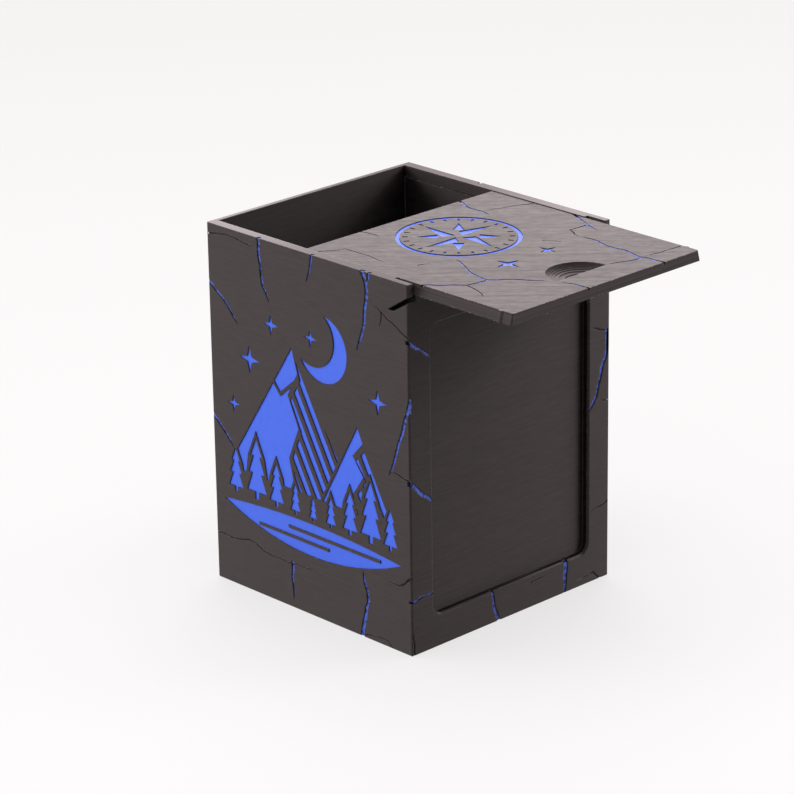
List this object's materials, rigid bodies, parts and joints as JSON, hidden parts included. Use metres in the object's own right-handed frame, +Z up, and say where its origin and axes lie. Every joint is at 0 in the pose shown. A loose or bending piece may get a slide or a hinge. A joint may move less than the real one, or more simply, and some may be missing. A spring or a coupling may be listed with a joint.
{
  "type": "card box with sliding lid",
  "caption": "Upright card box with a dovetailed lid that slides out to the front over a sunk front panel, held shut by snap fingers, with contrasting inlays.",
  "frame": {"origin": "middle of the box's underside", "axes": "+Z up, -Y to the front where the lid slides out, +X to the right as seen from the front"},
  "size_m": [0.0762, 0.1121, 0.104],
  "materials": {
    "shell": "satin printed plastic with fine layer lines",
    "lid": "satin printed plastic with fine raster lines",
    "inlay": "matte blue printed plastic"
  },
  "bodies": {
    "box": {"box_shell": "shell", "pine_inlay": "inlay", "high_peak_inlay": "inlay", "low_peak_inlay": "inlay", "ground_inlay": "inlay", "moon_inlay": "inlay", "star_inlay": "inlay", "left_vein_inlay": "inlay", "front_vein_inlay": "inlay", "right_vein_inlay": "inlay", "back_vein_inlay": "inlay"},
    "lid": {"sliding_lid": "lid", "rose_ring_inlay": "inlay", "rose_tick_inlay": "inlay", "rose_point_inlay": "inlay", "lid_star_inlay": "inlay", "lid_vein_inlay": "inlay"}
  },
  "joints": [
    {"name": "lid_slide", "type": "slide", "parent": "box", "child": "lid", "axis": [0, -1, 0], "range_m": [-0.0345, 0.0435]}
  ]
}
